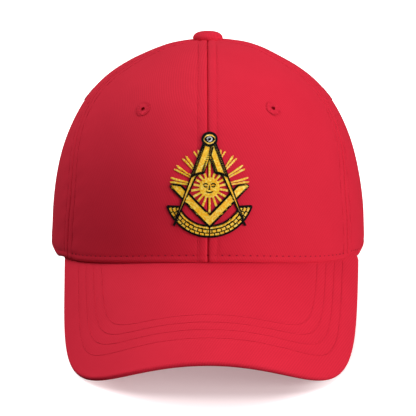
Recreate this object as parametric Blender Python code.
# A six-panel peaked cap of red cotton twill with an embroidered emblem: a square, a pair of
# compasses, a rayed sun and an arc. Units are metres.
#
# Each piece is modelled on the plane of the cap's rim, with the front towards -Y, the wearer's
# left towards +X and the button's axis on Z. The cap is then set down: its brim and the back
# of its rim touch Z = 0, and the origin is below the middle of its box.

import math

import bmesh
import bpy
from mathutils import Matrix, Vector

MM = 0.001

# Crown
CROWN_HALF_WIDTH = 86.5 * MM
CROWN_FRONT = 99.5 * MM  # from the button's axis to the front, at the rim
CROWN_BACK = 97.0 * MM
CROWN_HEIGHT = 114.5 * MM
CROWN_WALL = 1.8 * MM
SIDE_SQUARENESS = 2.86  # how upright the wall stands before it turns in
FRONT_SQUARENESS = 3.3
BACK_SQUARENESS = 2.45
TOP_ROUNDNESS = 0.515
FRONT_SEAM = math.radians(59.5)  # from the middle of the front, round the rim
FRONT_SEAM_SWING = math.radians(13)  # how much farther back this seam stands once it nears the button
SWING_SHARES = (0.25, 0.85)  # of the crown's height, between which it swings back
BACK_SEAM = math.radians(119)
PANEL_COLUMNS = 10
PANEL_ROWS = 16
GAP = 0.3 * MM  # between pieces that are sewn or laid together

# Button
BUTTON_RADIUS = 8.3 * MM
BUTTON_HEIGHT = 4.9 * MM
BUTTON_SKIRT = 1.7 * MM
BUTTON_HOLE_RADIUS = 5.0 * MM
BUTTON_POST_RADIUS = 3.2 * MM
BUTTON_WASHER_RADIUS = 6.6 * MM
BUTTON_WASHER = 1.0 * MM

# Eyelets
EYELET_RISE = 83.5 * MM  # above the rim
EYELET_SHARES = {"front": 0.43, "side": 0.5, "back": 0.5}  # of the way across its panel
EYELET_RADIUS = 4.2 * MM
EYELET_BORE_RADIUS = 1.4 * MM
EYELET_BARREL = 0.8 * MM
EYELET_FLANGE = 0.9 * MM
EYELET_SIDES = 14

# Brim
BRIM_LENGTH = 72.0 * MM  # along the middle, from the crown to the edge
BRIM_SLOPE = math.radians(33)  # below the rim's plane
BRIM_TIP_ANGLE = math.radians(67)  # round the rim, where the brim ends
FRONT_RISE = 8.0 * MM  # the brim's top at the front of the rim, above the rim's plane
TIP_RISE = 1.1 * MM
BRIM_SQUARENESS = 4.9
BRIM_TAPER = 0.115  # share by which the brim narrows towards its edge
BRIM_COVER = 1.4 * MM
BRIM_COLUMNS = 30
BRIM_ROWS = 7
RIM_EASE = math.radians(9)  # over which the rim drops behind the brim's tips

# Sweatband
SWEATBAND_HEIGHT = 32.0 * MM
SWEATBAND_WALL = 1.2 * MM
SWEATBAND_LIFT = 0.6 * MM  # above the rim, clear of the floor
SWEATBAND_COLUMNS = 46
SWEATBAND_ROWS = 2

# Back opening and its strap
ARCH_HALF_WIDTH = 36.0 * MM
ARCH_HEIGHT = 46.0 * MM
BINDING_LEG = 6.5 * MM
BINDING_WALL = 0.9 * MM
BINDING_STEPS = 22
STRAP_HEIGHT = 20.0 * MM
STRAP_WALL = 1.5 * MM
STRAP_TUCK = 13.0 * MM  # hidden behind the panel at each end
STRAP_LAP = 23.0 * MM  # past the middle
STRAP_STEPS = 14

# Emblem, in its own upright plane: across from its middle, up from the foot of its arc
EMBLEM_SHIFT = 0.9 * MM  # to the wearer's left of the middle seam
EMBLEM_FOOT = 21.4 * MM  # above the rim
EMBLEM_THREAD = 0.9 * MM  # how thick the stitching lies
EMBLEM_CELL = 6.0 * MM  # longest flat stretch on the curved crown
ARC_RADIUS = 22.75 * MM
ARC_BAND = 5.5 * MM
ARC_END_HEIGHT = 15.2 * MM
ARC_STEPS = 16
SQUARE_FOOT = 5.0 * MM
SQUARE_ARM = 28.4 * MM
SQUARE_WIDTH = 4.3 * MM
SQUARE_ANGLE = math.radians(44.3)  # each arm, from upright
SQUARE_END = ((1.0, 0), (0.99, 0.42), (0.945, 0.66), (0.905, 0.82), (0.87, 1.0))  # shares of arm and width
HINGE_HEIGHT = 50.3 * MM
HINGE_RADIUS = 3.9 * MM
HINGE_RING = 1.0 * MM
EYE_RADIUS = 1.2 * MM
LEG_LENGTH = 48.6 * MM
LEG_ANGLE = math.radians(19.7)
LEG_WIDTH = 4.3 * MM
LEG_SHOULDER = 17.5 * MM  # from the hinge, where the leg narrows
LEG_NECK_WIDTH = 2.2 * MM
LEG_POINT_WIDTH = 0.8 * MM
SUN_HEIGHT = 25.2 * MM
SUN_RADIUS = 5.15 * MM
RAY_COUNT = 18
RAY_WIDTH = 1.2 * MM
RAY_REACH = 20.2 * MM
OUTER_RAY_WIDTH = 2.3 * MM
RAY_NOTCH = 1.5 * MM
ROUND_SIDES = 20

# Colours are linear RGB
TWILL_RED = (0.60, 0.018, 0.040, 1)
TAPE_RED = (0.46, 0.014, 0.030, 1)
THREAD_RED = (0.42, 0.012, 0.025, 1)
THREAD_GOLD = (0.90, 0.47, 0.045, 1)
THREAD_BLACK = (0.012, 0.012, 0.014, 1)
THREAD_WHITE = (0.72, 0.72, 0.72, 1)

UP = Vector((0, 0, 1))


# Scene and materials


def clear_scene():
    for thing in list(bpy.data.objects):
        bpy.data.objects.remove(thing)


def make_material(name, colour, roughness):
    material = bpy.data.materials.new(name)
    material.use_nodes = True
    shader = material.node_tree.nodes["Principled BSDF"]
    shader.inputs["Base Color"].default_value = colour
    shader.inputs["Roughness"].default_value = roughness
    shader.inputs["Metallic"].default_value = 0.0
    return material


def add_object(name, bm, material, parent):
    bmesh.ops.recalc_face_normals(bm, faces=bm.faces)
    mesh = bpy.data.meshes.new(name)
    bm.to_mesh(mesh)
    bm.free()
    mesh.shade_smooth()
    mesh.set_sharp_from_angle(angle=math.radians(35))
    mesh.materials.append(material)
    thing = bpy.data.objects.new(name, mesh)
    bpy.context.scene.collection.objects.link(thing)
    thing.parent = parent
    return thing


# Solids


def thick_sheet(outer, inner):
    """A closed sheet between two grids of points, each a list of rows."""
    bm = bmesh.new()
    rows = len(outer)
    columns = len(outer[0])
    faces = [[[bm.verts.new(point) for point in row] for row in grid] for grid in (outer, inner)]
    top, bottom = faces
    for j in range(rows - 1):
        for i in range(columns - 1):
            bm.faces.new((top[j][i], top[j][i + 1], top[j + 1][i + 1], top[j + 1][i]))
            bm.faces.new((bottom[j][i], bottom[j + 1][i], bottom[j + 1][i + 1], bottom[j][i + 1]))
    for i in range(columns - 1):
        for j in (0, rows - 1):
            bm.faces.new((top[j][i], bottom[j][i], bottom[j][i + 1], top[j][i + 1]))
    for j in range(rows - 1):
        for i in (0, columns - 1):
            bm.faces.new((top[j][i], top[j + 1][i], bottom[j + 1][i], bottom[j][i]))
    return bm


def swept_bar(sections):
    """A closed bar through sections that all have the same number of points."""
    bm = bmesh.new()
    loops = [[bm.verts.new(point) for point in section] for section in sections]
    for near, far in zip(loops, loops[1:]):
        for i in range(len(near)):
            k = (i + 1) % len(near)
            bm.faces.new((near[i], near[k], far[k], far[i]))
    bm.faces.new(loops[0])
    bm.faces.new(loops[-1])
    return bm


def turned_ring(profile, sides):
    """A closed ring turned round Z. The profile is a closed loop of (radius, height)."""
    turns = [2 * math.pi * k / sides for k in range(sides)]
    bm = bmesh.new()
    loops = [
        [bm.verts.new((r * math.cos(turn), r * math.sin(turn), z)) for r, z in profile]
        for turn in turns
    ]
    for near, far in zip(loops, loops[1:] + loops[:1]):
        for i in range(len(profile)):
            k = (i + 1) % len(profile)
            bm.faces.new((near[i], near[k], far[k], far[i]))
    return bm


def turned_plug(profile, sides):
    """A closed plug turned round Z. The profile runs from the axis at the foot to the axis at the top."""
    turns = [2 * math.pi * k / sides for k in range(sides)]
    bm = bmesh.new()
    foot = bm.verts.new((0, 0, profile[0][1]))
    top = bm.verts.new((0, 0, profile[-1][1]))
    loops = [
        [bm.verts.new((r * math.cos(turn), r * math.sin(turn), z)) for r, z in profile[1:-1]]
        for turn in turns
    ]
    for near, far in zip(loops, loops[1:] + loops[:1]):
        for i in range(len(near) - 1):
            bm.faces.new((near[i], near[i + 1], far[i + 1], far[i]))
        bm.faces.new((foot, near[0], far[0]))
        bm.faces.new((top, far[-1], near[-1]))
    return bm


def smooth_step(share):
    share = min(max(share, 0), 1)
    return share * share * (3 - 2 * share)


def evenly(points, count):
    """The line through these points, cut into this many equal lengths."""
    lengths = [0]
    for a, b in zip(points, points[1:]):
        lengths.append(lengths[-1] + math.dist(a, b))
    made = []
    k = 0
    for step in range(count + 1):
        goal = lengths[-1] * step / count
        while k < len(points) - 2 and lengths[k + 1] < goal:
            k += 1
        share = (goal - lengths[k]) / (lengths[k + 1] - lengths[k])
        made.append(tuple(a + (b - a) * share for a, b in zip(points[k], points[k + 1])))
    return made


# The crown's surface. Angles run round the rim from the middle of the front, positive towards +X.


def crown_share(height, squareness):
    """How much of its reach at the rim the crown keeps at this height."""
    rise = min(max(height / CROWN_HEIGHT, 0), 1)
    return (1 - rise**squareness) ** TOP_ROUNDNESS


def crown_reach(height, towards_front):
    if towards_front:
        return CROWN_FRONT * crown_share(height, FRONT_SQUARENESS)
    return CROWN_BACK * crown_share(height, BACK_SQUARENESS)


def crown_point(angle, height):
    x = CROWN_HALF_WIDTH * crown_share(height, SIDE_SQUARENESS) * math.sin(angle)
    y = -crown_reach(height, math.cos(angle) > 0) * math.cos(angle)
    return Vector((x, y, height))


def crown_normal(angle, height):
    turn = math.radians(0.05)
    step = 0.02 * MM
    across = crown_point(angle + turn, height) - crown_point(angle - turn, height)
    along = crown_point(angle, height + step) - crown_point(angle, height - step)
    return across.cross(along).normalized()


def wall_point(angle, height, depth):
    """A point this deep below the crown's outer face."""
    return crown_point(angle, height) - depth * crown_normal(angle, height)


def angle_at(x, height, towards_front):
    """The angle at which the crown's outer face has this x."""
    half_width = CROWN_HALF_WIDTH * crown_share(height, SIDE_SQUARENESS)
    angle = math.asin(min(max(x / half_width, -1), 1))
    if towards_front:
        return angle
    return math.copysign(math.pi, x) - angle


# The brim's surface: a sheet bent round an axis that slopes forward with it


BRIM_TIP = crown_point(BRIM_TIP_ANGLE, 0)
BRIM_TIP_SAG = math.cos(BRIM_SLOPE) * (
    FRONT_RISE - TIP_RISE + math.tan(BRIM_SLOPE) * (CROWN_FRONT + BRIM_TIP.y)
)
BEND_RADIUS = (BRIM_TIP.x**2 + BRIM_TIP_SAG**2) / (2 * BRIM_TIP_SAG)
BRIM_FORWARD = Vector((0, -math.cos(BRIM_SLOPE), -math.sin(BRIM_SLOPE)))
BRIM_NORMAL = Vector((0, -math.sin(BRIM_SLOPE), math.cos(BRIM_SLOPE)))


def brim_point(across, along, depth):
    """A point of the brim: its arc length from the middle, its way forward, and its depth."""
    turn = across / BEND_RADIUS
    radius = BEND_RADIUS - depth
    start = Vector((radius * math.sin(turn), -CROWN_FRONT, FRONT_RISE))
    return start + BRIM_FORWARD * along + BRIM_NORMAL * (radius * math.cos(turn) - BEND_RADIUS)


def brim_place(x, y, depth):
    """(across, along) of the brim at this depth and this place in plan."""
    radius = BEND_RADIUS - depth
    turn = math.asin(min(max(x / radius, -1), 1))
    sag = BEND_RADIUS - radius * math.cos(turn)
    along = (-CROWN_FRONT - y + sag * math.sin(BRIM_SLOPE)) / math.cos(BRIM_SLOPE)
    return BEND_RADIUS * turn, along


def brim_height(x, y):
    across, along = brim_place(x, y, 0)
    return brim_point(across, along, 0).z


def rim_height(angle, depth):
    """The crown's lower edge: it stands on the brim, and behind the brim's tips it drops to the rim's plane."""
    turn = min(abs(angle), BRIM_TIP_ANGLE)
    place = wall_point(turn, 0, depth)
    height = brim_height(place.x, place.y) + GAP
    return height * (1 - smooth_step((abs(angle) - BRIM_TIP_ANGLE) / RIM_EASE))


# Crown pieces


def crown_top():
    """The height at which the panels stop, round the button's hole."""
    share = BUTTON_HOLE_RADIUS / CROWN_HALF_WIDTH
    return CROWN_HEIGHT * (1 - share ** (1 / TOP_ROUNDNESS)) ** (1 / SIDE_SQUARENESS)


def seam_angle(seam, height):
    """Where a seam stands at this height. The front seam swings back as the crown rises."""
    if abs(seam) != FRONT_SEAM:
        return seam
    low, high = (share * CROWN_HEIGHT for share in SWING_SHARES)
    return seam + math.copysign(FRONT_SEAM_SWING, seam) * smooth_step((height - low) / (high - low))


def panel_levels():
    """Shares of the height, evenly spaced along the side of the crown."""
    fine = 400
    top = crown_top()
    # the sine puts more of the points near the top, where the crown turns in quickly
    heights = [top * math.sin(math.pi / 2 * k / fine) for k in range(fine + 1)]
    line = [tuple(crown_point(math.pi / 2, height)) for height in heights]
    return [point[2] / top for point in evenly(line, PANEL_ROWS)]


def column_share(start, end, i):
    """How far across its panel a column stands. The one nearest to a tip of the brim stands on it."""
    step = (end - start) / PANEL_COLUMNS
    angle = start + step * i
    if 0 < i < PANEL_COLUMNS and abs(abs(angle) - BRIM_TIP_ANGLE) < abs(step) / 2:
        angle = math.copysign(BRIM_TIP_ANGLE, angle)
    return (angle - start) / (end - start)


def panel_grid(start, end, depth, levels):
    top = crown_top()
    grid = []
    for level in levels:
        row = []
        near, far = (seam_angle(seam, top * level) for seam in (start, end))
        for i in range(PANEL_COLUMNS + 1):
            angle = near + (far - near) * column_share(start, end, i)
            rim = rim_height(angle, depth)
            height = rim + (top - rim) * level
            if i in (0, PANEL_COLUMNS):
                radius = Vector(crown_point(angle, height)[:2]).length
                inward = 1 if i == 0 else -1
                angle += inward * GAP / 2 / radius
            row.append(wall_point(angle, height, depth))
        grid.append(row)
    return grid


def add_cutter(name, bm, parent):
    cutter = add_object(name, bm, None, parent)
    cutter.hide_render = True
    cutter.display_type = "WIRE"
    return cutter


def cut(thing, cutter):
    modifier = thing.modifiers.new(cutter.name, "BOOLEAN")
    modifier.operation = "DIFFERENCE"
    modifier.solver = "EXACT"
    modifier.object = cutter


def eyelet_seat(angle):
    """The place and turn of an eyelet: its Z is the crown's normal."""
    normal = crown_normal(angle, EYELET_RISE)
    across = UP.cross(normal).normalized()
    turn = Matrix((across, normal.cross(across), normal)).transposed()
    return crown_point(angle, EYELET_RISE), turn.to_euler()


def add_eyelet(name, angle, material, parent):
    barrel = EYELET_BORE_RADIUS + EYELET_BARREL
    foot = GAP
    top = GAP + EYELET_FLANGE
    inner = -CROWN_WALL - 2 * GAP  # the inner face curves away from its flat facets
    profile = (
        (EYELET_BORE_RADIUS, top - 0.25 * EYELET_FLANGE),
        (barrel, top),
        (0.75 * EYELET_RADIUS, top),
        (EYELET_RADIUS, foot + 0.45 * EYELET_FLANGE),
        (EYELET_RADIUS, foot),
        (barrel, foot),
        (barrel, inner),
        (0.85 * EYELET_RADIUS, inner),
        (0.85 * EYELET_RADIUS, inner - 0.6 * EYELET_FLANGE),
        (EYELET_BORE_RADIUS, inner - 0.6 * EYELET_FLANGE),
    )
    eyelet = add_object(name, turned_ring(profile, EYELET_SIDES), material, parent)
    eyelet.location, eyelet.rotation_euler = eyelet_seat(angle)
    return eyelet


def eyelet_cutter(name, angle, parent):
    radius = EYELET_BORE_RADIUS + EYELET_BARREL + GAP
    reach = 4 * CROWN_WALL
    profile = ((0, -reach), (radius, -reach), (radius, reach), (0, reach))
    cutter = add_cutter(name, turned_plug(profile, EYELET_SIDES), parent)
    cutter.location, cutter.rotation_euler = eyelet_seat(angle)
    return cutter


def add_button(material, parent):
    def seat(radius):
        """The crown's highest point at this distance from the axis, with the gap above it."""
        rises = []
        for reach, squareness in (
            (CROWN_HALF_WIDTH, SIDE_SQUARENESS),
            (CROWN_FRONT, FRONT_SQUARENESS),
            (CROWN_BACK, BACK_SQUARENESS),
        ):
            share = (radius / reach) ** (1 / TOP_ROUNDNESS)
            rises.append((1 - share) ** (1 / squareness))
        return CROWN_HEIGHT * max(rises) + GAP

    profile = []
    washer_top = CROWN_HEIGHT - CROWN_WALL - 2.5 * GAP
    washer_foot = washer_top - BUTTON_WASHER
    profile.append((0, washer_foot))
    profile.append((BUTTON_WASHER_RADIUS, washer_foot))
    profile.append((BUTTON_WASHER_RADIUS, washer_top))
    profile.append((BUTTON_POST_RADIUS, washer_top))
    profile.append((BUTTON_POST_RADIUS, seat(BUTTON_POST_RADIUS)))
    profile.append((BUTTON_RADIUS, seat(BUTTON_RADIUS)))
    skirt = seat(BUTTON_RADIUS) + BUTTON_SKIRT
    dome = seat(0) + BUTTON_HEIGHT - skirt
    dome_steps = 5
    for k in range(dome_steps + 1):
        turn = math.pi / 2 * k / dome_steps
        profile.append((BUTTON_RADIUS * math.cos(turn) ** 0.8, skirt + dome * math.sin(turn)))
    return add_object("button", turned_plug(profile, ROUND_SIDES), material, parent)


def arch_point(turn, spread):
    """(x, height) on the back opening's arch, or this far outside it."""
    x = ARCH_HALF_WIDTH * math.cos(turn)
    height = ARCH_HEIGHT * math.sin(turn)
    outward = Vector((math.cos(turn) / ARCH_HALF_WIDTH, math.sin(turn) / ARCH_HEIGHT)).normalized()
    return x + spread * outward.x, height + spread * outward.y


def arch_cutter(parent):
    steps = 24
    outline = [arch_point(math.pi * k / steps, 0) for k in range(steps + 1)]
    below = 4 * CROWN_WALL
    outline = [(outline[0][0], -below)] + outline + [(outline[-1][0], -below)]
    ends = (0.3 * CROWN_BACK, 1.2 * CROWN_BACK)
    sections = [[Vector((x, y, height)) for x, height in outline] for y in ends]
    return add_cutter("arch_cutter", swept_bar(sections), parent)


def add_binding(material, parent):
    """A tape folded round the arch: a leg outside, a leg inside, and a web across the cut edge."""
    web = GAP + BINDING_WALL
    face = GAP + BINDING_WALL
    back = -CROWN_WALL - GAP
    shape = (
        (BINDING_LEG, face),
        (-web, face),
        (-web, back - BINDING_WALL),
        (BINDING_LEG, back - BINDING_WALL),
        (BINDING_LEG, back),
        (-GAP, back),
        (-GAP, GAP),
        (BINDING_LEG, GAP),
    )
    # the tape stops on top of the strap
    start = math.asin((STRAP_HEIGHT + 2 * GAP) / ARCH_HEIGHT)
    sections = []
    for k in range(BINDING_STEPS + 1):
        turn = start + (math.pi - 2 * start) * k / BINDING_STEPS
        section = []
        for spread, rise in shape:
            x, height = arch_point(turn, spread)
            if k in (0, BINDING_STEPS):
                height = max(height, STRAP_HEIGHT + GAP)
            section.append(wall_point(angle_at(x, height, False), height, -rise))
        sections.append(section)
    return add_object("arch_binding", swept_bar(sections), material, parent)


def add_sweatband(material, parent):
    end = abs(angle_at(ARCH_HALF_WIDTH + STRAP_TUCK + GAP, 0, False))
    brim_depth = 2 * BRIM_COVER + 2 * GAP
    grids = []
    for depth in (CROWN_WALL + GAP, CROWN_WALL + GAP + SWEATBAND_WALL):
        grid = []
        for j in range(SWEATBAND_ROWS + 1):
            row = []
            for i in range(SWEATBAND_COLUMNS + 1):
                angle = end * (2 * i / SWEATBAND_COLUMNS - 1)
                foot = max(SWEATBAND_LIFT, rim_height(angle, CROWN_WALL) - brim_depth)
                height = foot + SWEATBAND_HEIGHT * j / SWEATBAND_ROWS
                row.append(wall_point(angle, height, depth))
            grid.append(row)
        grids.append(grid)
    return add_object("sweatband", thick_sheet(*grids), material, parent)


def add_strap(name, side, steps_in, material, parent):
    """Half of the closing strap, from its sewn end on this side to its free end past the middle."""
    outer_depth = CROWN_WALL + GAP
    lap_depth = outer_depth + steps_in * (STRAP_WALL + GAP)
    start = ARCH_HALF_WIDTH + STRAP_TUCK
    step_start = ARCH_HALF_WIDTH
    step_end = STRAP_LAP + 4 * GAP
    grids = ([], [])
    for j in range(2):
        rows = ([], [])
        for i in range(STRAP_STEPS + 1):
            x = start - (start + STRAP_LAP) * i / STRAP_STEPS
            share = smooth_step((step_start - x) / (step_start - step_end))
            depth = outer_depth + (lap_depth - outer_depth) * share
            angle = side * abs(angle_at(abs(x), 0, False))
            if x < 0:
                angle = -angle
            for row, extra in zip(rows, (0, STRAP_WALL)):
                row.append(wall_point(angle, STRAP_HEIGHT * j, depth + extra))
        for grid, row in zip(grids, rows):
            grid.append(row)
    return add_object(name, thick_sheet(*grids), material, parent)


# Brim pieces


def brim_outline():
    """(across, along) of the brim's outer edge, from tip to tip."""
    tip_across, tip_along = brim_place(BRIM_TIP.x, BRIM_TIP.y, 0)
    fine = 600
    line = []
    for k in range(fine + 1):
        turn = math.pi * (k / fine - 0.5)
        forward = math.cos(turn) ** (2 / BRIM_SQUARENESS) if abs(turn) < math.pi / 2 else 0
        width = abs(math.sin(turn)) ** (2 / BRIM_SQUARENESS) * (1 - BRIM_TAPER * forward)
        line.append((math.copysign(tip_across * width, turn), tip_along + (BRIM_LENGTH - tip_along) * forward))
    return evenly(line, BRIM_COLUMNS)


def brim_root(depth):
    """(across, along) of the brim's inner edge, below the crown's wall."""
    line = []
    for i in range(BRIM_COLUMNS + 1):
        angle = BRIM_TIP_ANGLE * (2 * i / BRIM_COLUMNS - 1)
        place = wall_point(angle, 0, CROWN_WALL)
        line.append(brim_place(place.x, place.y, depth))
    return line


def add_brim_cover(name, depth, material, parent):
    edge = brim_outline()
    grids = []
    for face in (depth, depth + BRIM_COVER):
        root = brim_root(face)
        grid = []
        for j in range(BRIM_ROWS + 1):
            share = j / BRIM_ROWS
            row = []
            for near, far in zip(root, edge):
                across, along = (a + (b - a) * share for a, b in zip(near, far))
                row.append(brim_point(across, along, face))
            grid.append(row)
        grids.append(grid)
    return add_object(name, thick_sheet(*grids), material, parent)


# Emblem pieces: flat outlines of (across, up) points, cut to fit, thickened and laid on the crown


def front_heights():
    """(height, length) pairs up the middle of the front, from the rim."""
    fine = 600
    pairs = []
    length = 0
    last = None
    for k in range(fine + 1):
        height = CROWN_HEIGHT * math.sin(math.pi / 2 * k / fine)
        point = crown_point(0, height)
        if last is not None:
            length += (point - last).length
        pairs.append((height, length))
        last = point
    return pairs


FRONT_HEIGHTS = front_heights()


def front_height(length):
    """The height of a point this far up the front, measured along it."""
    for (low, near), (high, far) in zip(FRONT_HEIGHTS, FRONT_HEIGHTS[1:]):
        if length <= far:
            return low + (high - low) * (length - near) / (far - near)
    return CROWN_HEIGHT


def on_front(across, up, rise):
    height = front_height(EMBLEM_FOOT + up)
    return wall_point(angle_at(EMBLEM_SHIFT + across, height, True), height, -rise)


def turned(point, turn):
    """A point turned clockwise about the origin, seen from the front."""
    across, up = point
    return (
        across * math.cos(turn) + up * math.sin(turn),
        up * math.cos(turn) - across * math.sin(turn),
    )


def moved(outline, centre_up):
    return [(across, up + centre_up) for across, up in outline]


def mirrored(outline):
    return [(-across, up) for across, up in reversed(outline)]


def circle(radius, centre_up):
    turns = [2 * math.pi * k / ROUND_SIDES for k in range(ROUND_SIDES)]
    return [(radius * math.cos(turn), centre_up + radius * math.sin(turn)) for turn in turns]


def leg_outline():
    """The compasses' right leg. Its top follows the hinge, and its outer edge is straight to the point."""
    half = LEG_WIDTH / 2
    clear = HINGE_RADIUS + GAP
    first = math.asin(half / clear)
    last = math.asin(GAP / 2 / clear) - LEG_ANGLE
    top_steps = 4
    leg = [
        (clear * math.sin(turn), -clear * math.cos(turn))
        for turn in (last + (first - last) * k / top_steps for k in range(top_steps + 1))
    ]
    leg += [
        (half, -LEG_LENGTH),
        (half - LEG_POINT_WIDTH, -LEG_LENGTH + LEG_POINT_WIDTH),
        leg_neck(),
        (half - 0.82 * LEG_WIDTH, -LEG_SHOULDER - 0.4 * LEG_WIDTH),
        (-half, -LEG_SHOULDER),
        # the legs meet at the middle
        (-half, -(half * math.cos(LEG_ANGLE) + GAP / 2) / math.sin(LEG_ANGLE)),
    ]
    return moved([turned(point, -LEG_ANGLE) for point in leg], HINGE_HEIGHT)


def leg_neck():
    """Where the leg's narrow part begins on its inner edge, along the upright leg."""
    return LEG_WIDTH / 2 - LEG_NECK_WIDTH, -LEG_SHOULDER - 0.65 * LEG_WIDTH


def leg_edges():
    """The right leg's outer edge and its narrow part's inner edge: a point and the normal to the right."""
    half = LEG_WIDTH / 2
    neck = leg_neck()
    point = (half - LEG_POINT_WIDTH, -LEG_LENGTH + LEG_POINT_WIDTH)
    lean = math.atan2(point[0] - neck[0], neck[1] - point[1])
    made = []
    for place, turn in (((half, 0), -LEG_ANGLE), (neck, -LEG_ANGLE - lean)):
        at = moved([turned(place, -LEG_ANGLE)], HINGE_HEIGHT)[0]
        made.append((at, turned((1, 0), turn)))
    return made


def beyond(edge):
    """The half plane that starts one gap past this edge."""
    (x, y), (dx, dy) = edge
    return (x + GAP * dx, y + GAP * dy), (-dx, -dy)


def within(edge):
    """The half plane that ends one gap before this edge."""
    (x, y), (dx, dy) = edge
    return (x - GAP * dx, y - GAP * dy), (dx, dy)


def other_hand(half_plane):
    (x, y), (dx, dy) = half_plane
    return (-x, y), (-dx, dy)


def square_outline():
    """Both arms of the square, from the foot round the right arm's shaped end to the left arm's."""
    arm = [(share * SQUARE_ARM, width * SQUARE_WIDTH) for share, width in SQUARE_END]
    arm = [turned((-width, along), SQUARE_ANGLE) for along, width in arm]
    inner_corner = SQUARE_WIDTH / math.sin(SQUARE_ANGLE)
    right = moved([(0, 0)] + arm + [(0, inner_corner)], SQUARE_FOOT)
    return right + mirrored(right)[1:-1]


def arc_outline():
    """The arc, with a notch for the square's foot."""
    outline = []
    for radius, side in ((ARC_RADIUS, 1), (ARC_RADIUS - ARC_BAND, -1)):
        end = math.acos((ARC_RADIUS - ARC_END_HEIGHT) / radius)
        for k in range(ARC_STEPS + 1):
            turn = side * end * (2 * k / ARC_STEPS - 1)
            outline.append((radius * math.sin(turn), ARC_RADIUS - radius * math.cos(turn)))
    depth = ARC_BAND - SQUARE_FOOT + GAP / math.sin(SQUARE_ANGLE)
    half = depth * math.tan(SQUARE_ANGLE)
    notch = [(half, ARC_BAND), (0, ARC_BAND - depth), (-half, ARC_BAND)]
    middle = ARC_STEPS + 1 + ARC_STEPS // 2
    return outline[:middle] + notch + outline[middle + 1 :]


def ray_hit(direction, outlines):
    """The distance from the sun's middle to the first of these outlines, in this direction."""
    nearest = math.inf
    dx, dy = direction
    for outline in outlines:
        for (ax, ay), (bx, by) in zip(outline, outline[1:] + outline[:1]):
            ay, by = ay - SUN_HEIGHT, by - SUN_HEIGHT
            ex, ey = bx - ax, by - ay
            cross = dx * ey - dy * ex
            if abs(cross) < 1e-12:
                continue
            distance = (ax * ey - ay * ex) / cross
            share = (ax * dy - ay * dx) / cross
            if distance > 0 and 0 <= share <= 1:
                nearest = min(nearest, distance)
    return nearest


def sun_outline(stops):
    """The disc with its inner rays, each as long as the space to the compasses and the square."""
    outline = []
    half = RAY_WIDTH / 2
    foot = math.sqrt(SUN_RADIUS**2 - half**2)
    for k in range(RAY_COUNT):
        turn = 2 * math.pi * k / RAY_COUNT
        hit = min(ray_hit(turned((shift, 1), turn), stops) for shift in (-0.12, 0, 0.12))
        reach = max(hit - 3 * GAP, SUN_RADIUS + 2 * GAP)
        for across, up in ((-half, foot), (-0.75 * half, reach), (0.75 * half, reach), (half, foot)):
            outline.append(turned((across, up), turn))
    return moved(outline, SUN_HEIGHT)


def outer_ray_outline(turn):
    """A ray with a forked end, from the sun's edge outwards."""
    half = OUTER_RAY_WIDTH / 2
    ray = (
        (-0.5 * half, SUN_RADIUS),
        (-half, RAY_REACH),
        (0, RAY_REACH - RAY_NOTCH),
        (half, RAY_REACH),
        (0.5 * half, SUN_RADIUS),
    )
    return moved([turned(point, turn) for point in ray], SUN_HEIGHT)


def flat_face(outline, hole):
    bm = bmesh.new()
    outer = [bm.verts.new((x, y, GAP)) for x, y in outline]
    if not hole:
        bm.faces.new(outer)
        return bm
    inner = [bm.verts.new((x, y, GAP)) for x, y in hole]
    for i in range(len(outer)):
        k = (i + 1) % len(outer)
        bm.faces.new((outer[i], outer[k], inner[k], inner[i]))
    return bm


def cut_at(bm, point, normal, drop_far_side):
    everything = list(bm.verts) + list(bm.edges) + list(bm.faces)
    made = bmesh.ops.bisect_plane(
        bm, geom=everything, dist=1e-7, plane_co=point, plane_no=normal, clear_outer=drop_far_side
    )
    if drop_far_side:
        edges = [item for item in made["geom_cut"] if isinstance(item, bmesh.types.BMEdge)]
        bmesh.ops.holes_fill(bm, edges=edges)


def laid_on_front(outline, keep, hole):
    """A thick piece with this outline, cut by the half planes in keep and bent to the crown.

    Each half plane is (point, normal) and keeps what lies against its normal.
    """
    bm = flat_face(outline, hole)
    lifted = bmesh.ops.extrude_face_region(bm, geom=list(bm.faces))["geom"]
    points = [item for item in lifted if isinstance(item, bmesh.types.BMVert)]
    bmesh.ops.translate(bm, verts=points, vec=(0, 0, EMBLEM_THREAD))
    for point, normal in keep:
        cut_at(bm, (*point, 0), (*normal, 0), True)
    for axis in (0, 1):
        places = [vert.co[axis] for vert in bm.verts]
        least, most = min(places), max(places)
        cells = math.ceil((most - least) / EMBLEM_CELL)
        for k in range(1, cells):
            point = Vector()
            normal = Vector()
            point[axis] = least + (most - least) * k / cells
            normal[axis] = 1
            cut_at(bm, point, normal, False)
    bmesh.ops.recalc_face_normals(bm, faces=bm.faces)
    for vert in bm.verts:
        vert.co = on_front(*vert.co)
    bmesh.ops.triangulate(bm, faces=bm.faces)
    return bm


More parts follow.
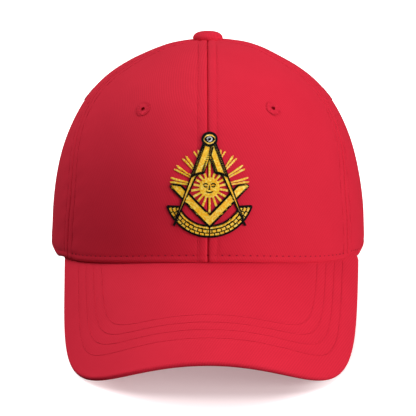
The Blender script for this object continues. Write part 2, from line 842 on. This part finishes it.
def add_emblem(gold, black, white, parent):
    def add(name, outline, keep=(), material=gold, hole=()):
        add_object(f"emblem_{name}", laid_on_front(outline, keep, hole), material, parent)

    leg = leg_outline()
    square = square_outline()
    arc = arc_outline()
    add("leg_left", leg)
    add("leg_right", mirrored(leg))

    eye_socket = HINGE_RADIUS - HINGE_RING
    rims = [HINGE_RADIUS, eye_socket, eye_socket - GAP, EYE_RADIUS + GAP, EYE_RADIUS]
    hinge, socket, eye_ring, eye_hole, eye = (circle(radius, HINGE_HEIGHT) for radius in rims)
    add("hinge", hinge, material=black, hole=socket)
    add("eye_ring", eye_ring, hole=eye_hole)
    add("eye", eye, material=white)

    outer_edge, inner_edge = leg_edges()
    between_legs = [within(inner_edge), other_hand(within(inner_edge))]
    left_of_leg = [beyond(outer_edge)]
    right_of_leg = [other_hand(beyond(outer_edge))]
    for name, outline in (("square", square), ("arc", arc)):
        add(name, outline, between_legs)
        add(f"{name}_end_left", outline, left_of_leg)
        add(f"{name}_end_right", outline, right_of_leg)

    add("sun", sun_outline([leg, mirrored(leg), square]))
    for number in range(1, 5):
        ray = outer_ray_outline(2 * math.pi * number / RAY_COUNT)
        add(f"ray_left_{number}", ray, left_of_leg)
        add(f"ray_right_{number}", mirrored(ray), right_of_leg)


# The whole cap


def set_down(cap):
    """Tilts the cap back until its brim and the back of its rim touch the floor, and centres its box."""
    graph = bpy.context.evaluated_depsgraph_get()
    points = []
    for thing in cap.children:
        if thing.hide_render:
            continue
        shown = thing.evaluated_get(graph)
        points += [shown.matrix_world @ vert.co for vert in shown.data.vertices]
    heel = min(points, key=lambda p: (round(p.z, 6), -p.y) if p.y > 0 else (1, 0))
    tilt = max(
        math.atan2(heel.z - p.z, heel.y - p.y) for p in points if p.y < -0.5 * CROWN_FRONT
    )
    turn = Matrix.Rotation(-tilt, 3, "X")
    placed = [turn @ p for p in points]
    middle = [(min(p[i] for p in placed) + max(p[i] for p in placed)) / 2 for i in (0, 1)]
    floor = min(p.z for p in placed)
    cap.rotation_euler = (-tilt, 0, 0)
    cap.location = (-middle[0], -middle[1], -floor)


def build():
    clear_scene()
    twill = make_material("twill_red", TWILL_RED, 0.85)
    tape = make_material("tape_red", TAPE_RED, 0.85)
    thread = make_material("thread_red", THREAD_RED, 0.7)
    gold = make_material("thread_gold", THREAD_GOLD, 0.45)
    black = make_material("thread_black", THREAD_BLACK, 0.55)
    white = make_material("thread_white", THREAD_WHITE, 0.5)

    cap = bpy.data.objects.new("cap", None)
    bpy.context.scene.collection.objects.link(cap)

    levels = panel_levels()
    arch = arch_cutter(cap)
    for place, start, end in (
        ("front", 0, FRONT_SEAM),
        ("side", FRONT_SEAM, BACK_SEAM),
        ("back", BACK_SEAM, math.pi),
    ):
        for hand, side in (("left", 1), ("right", -1)):
            name = f"{place}_panel_{hand}"
            edges = sorted((side * start, side * end))
            grids = [panel_grid(*edges, depth, levels) for depth in (0, CROWN_WALL)]
            panel = add_object(name, thick_sheet(*grids), twill, cap)
            near, far = (seam_angle(seam, EYELET_RISE) for seam in (start, end))
            eyelet = side * (near + (far - near) * EYELET_SHARES[place])
            cut(panel, eyelet_cutter(f"{name}_eyelet_cutter", eyelet, cap))
            if place == "back":
                cut(panel, arch)
            add_eyelet(f"{place}_eyelet_{hand}", eyelet, thread, cap)

    add_button(twill, cap)
    add_brim_cover("brim_top", 0, twill, cap)
    add_brim_cover("brim_underside", BRIM_COVER + GAP, twill, cap)
    add_sweatband(tape, cap)
    add_strap("strap_left", 1, 0, twill, cap)
    add_strap("strap_right", -1, 1, twill, cap)
    add_binding(tape, cap)
    add_emblem(gold, black, white, cap)

    bpy.context.view_layer.update()
    set_down(cap)


build()
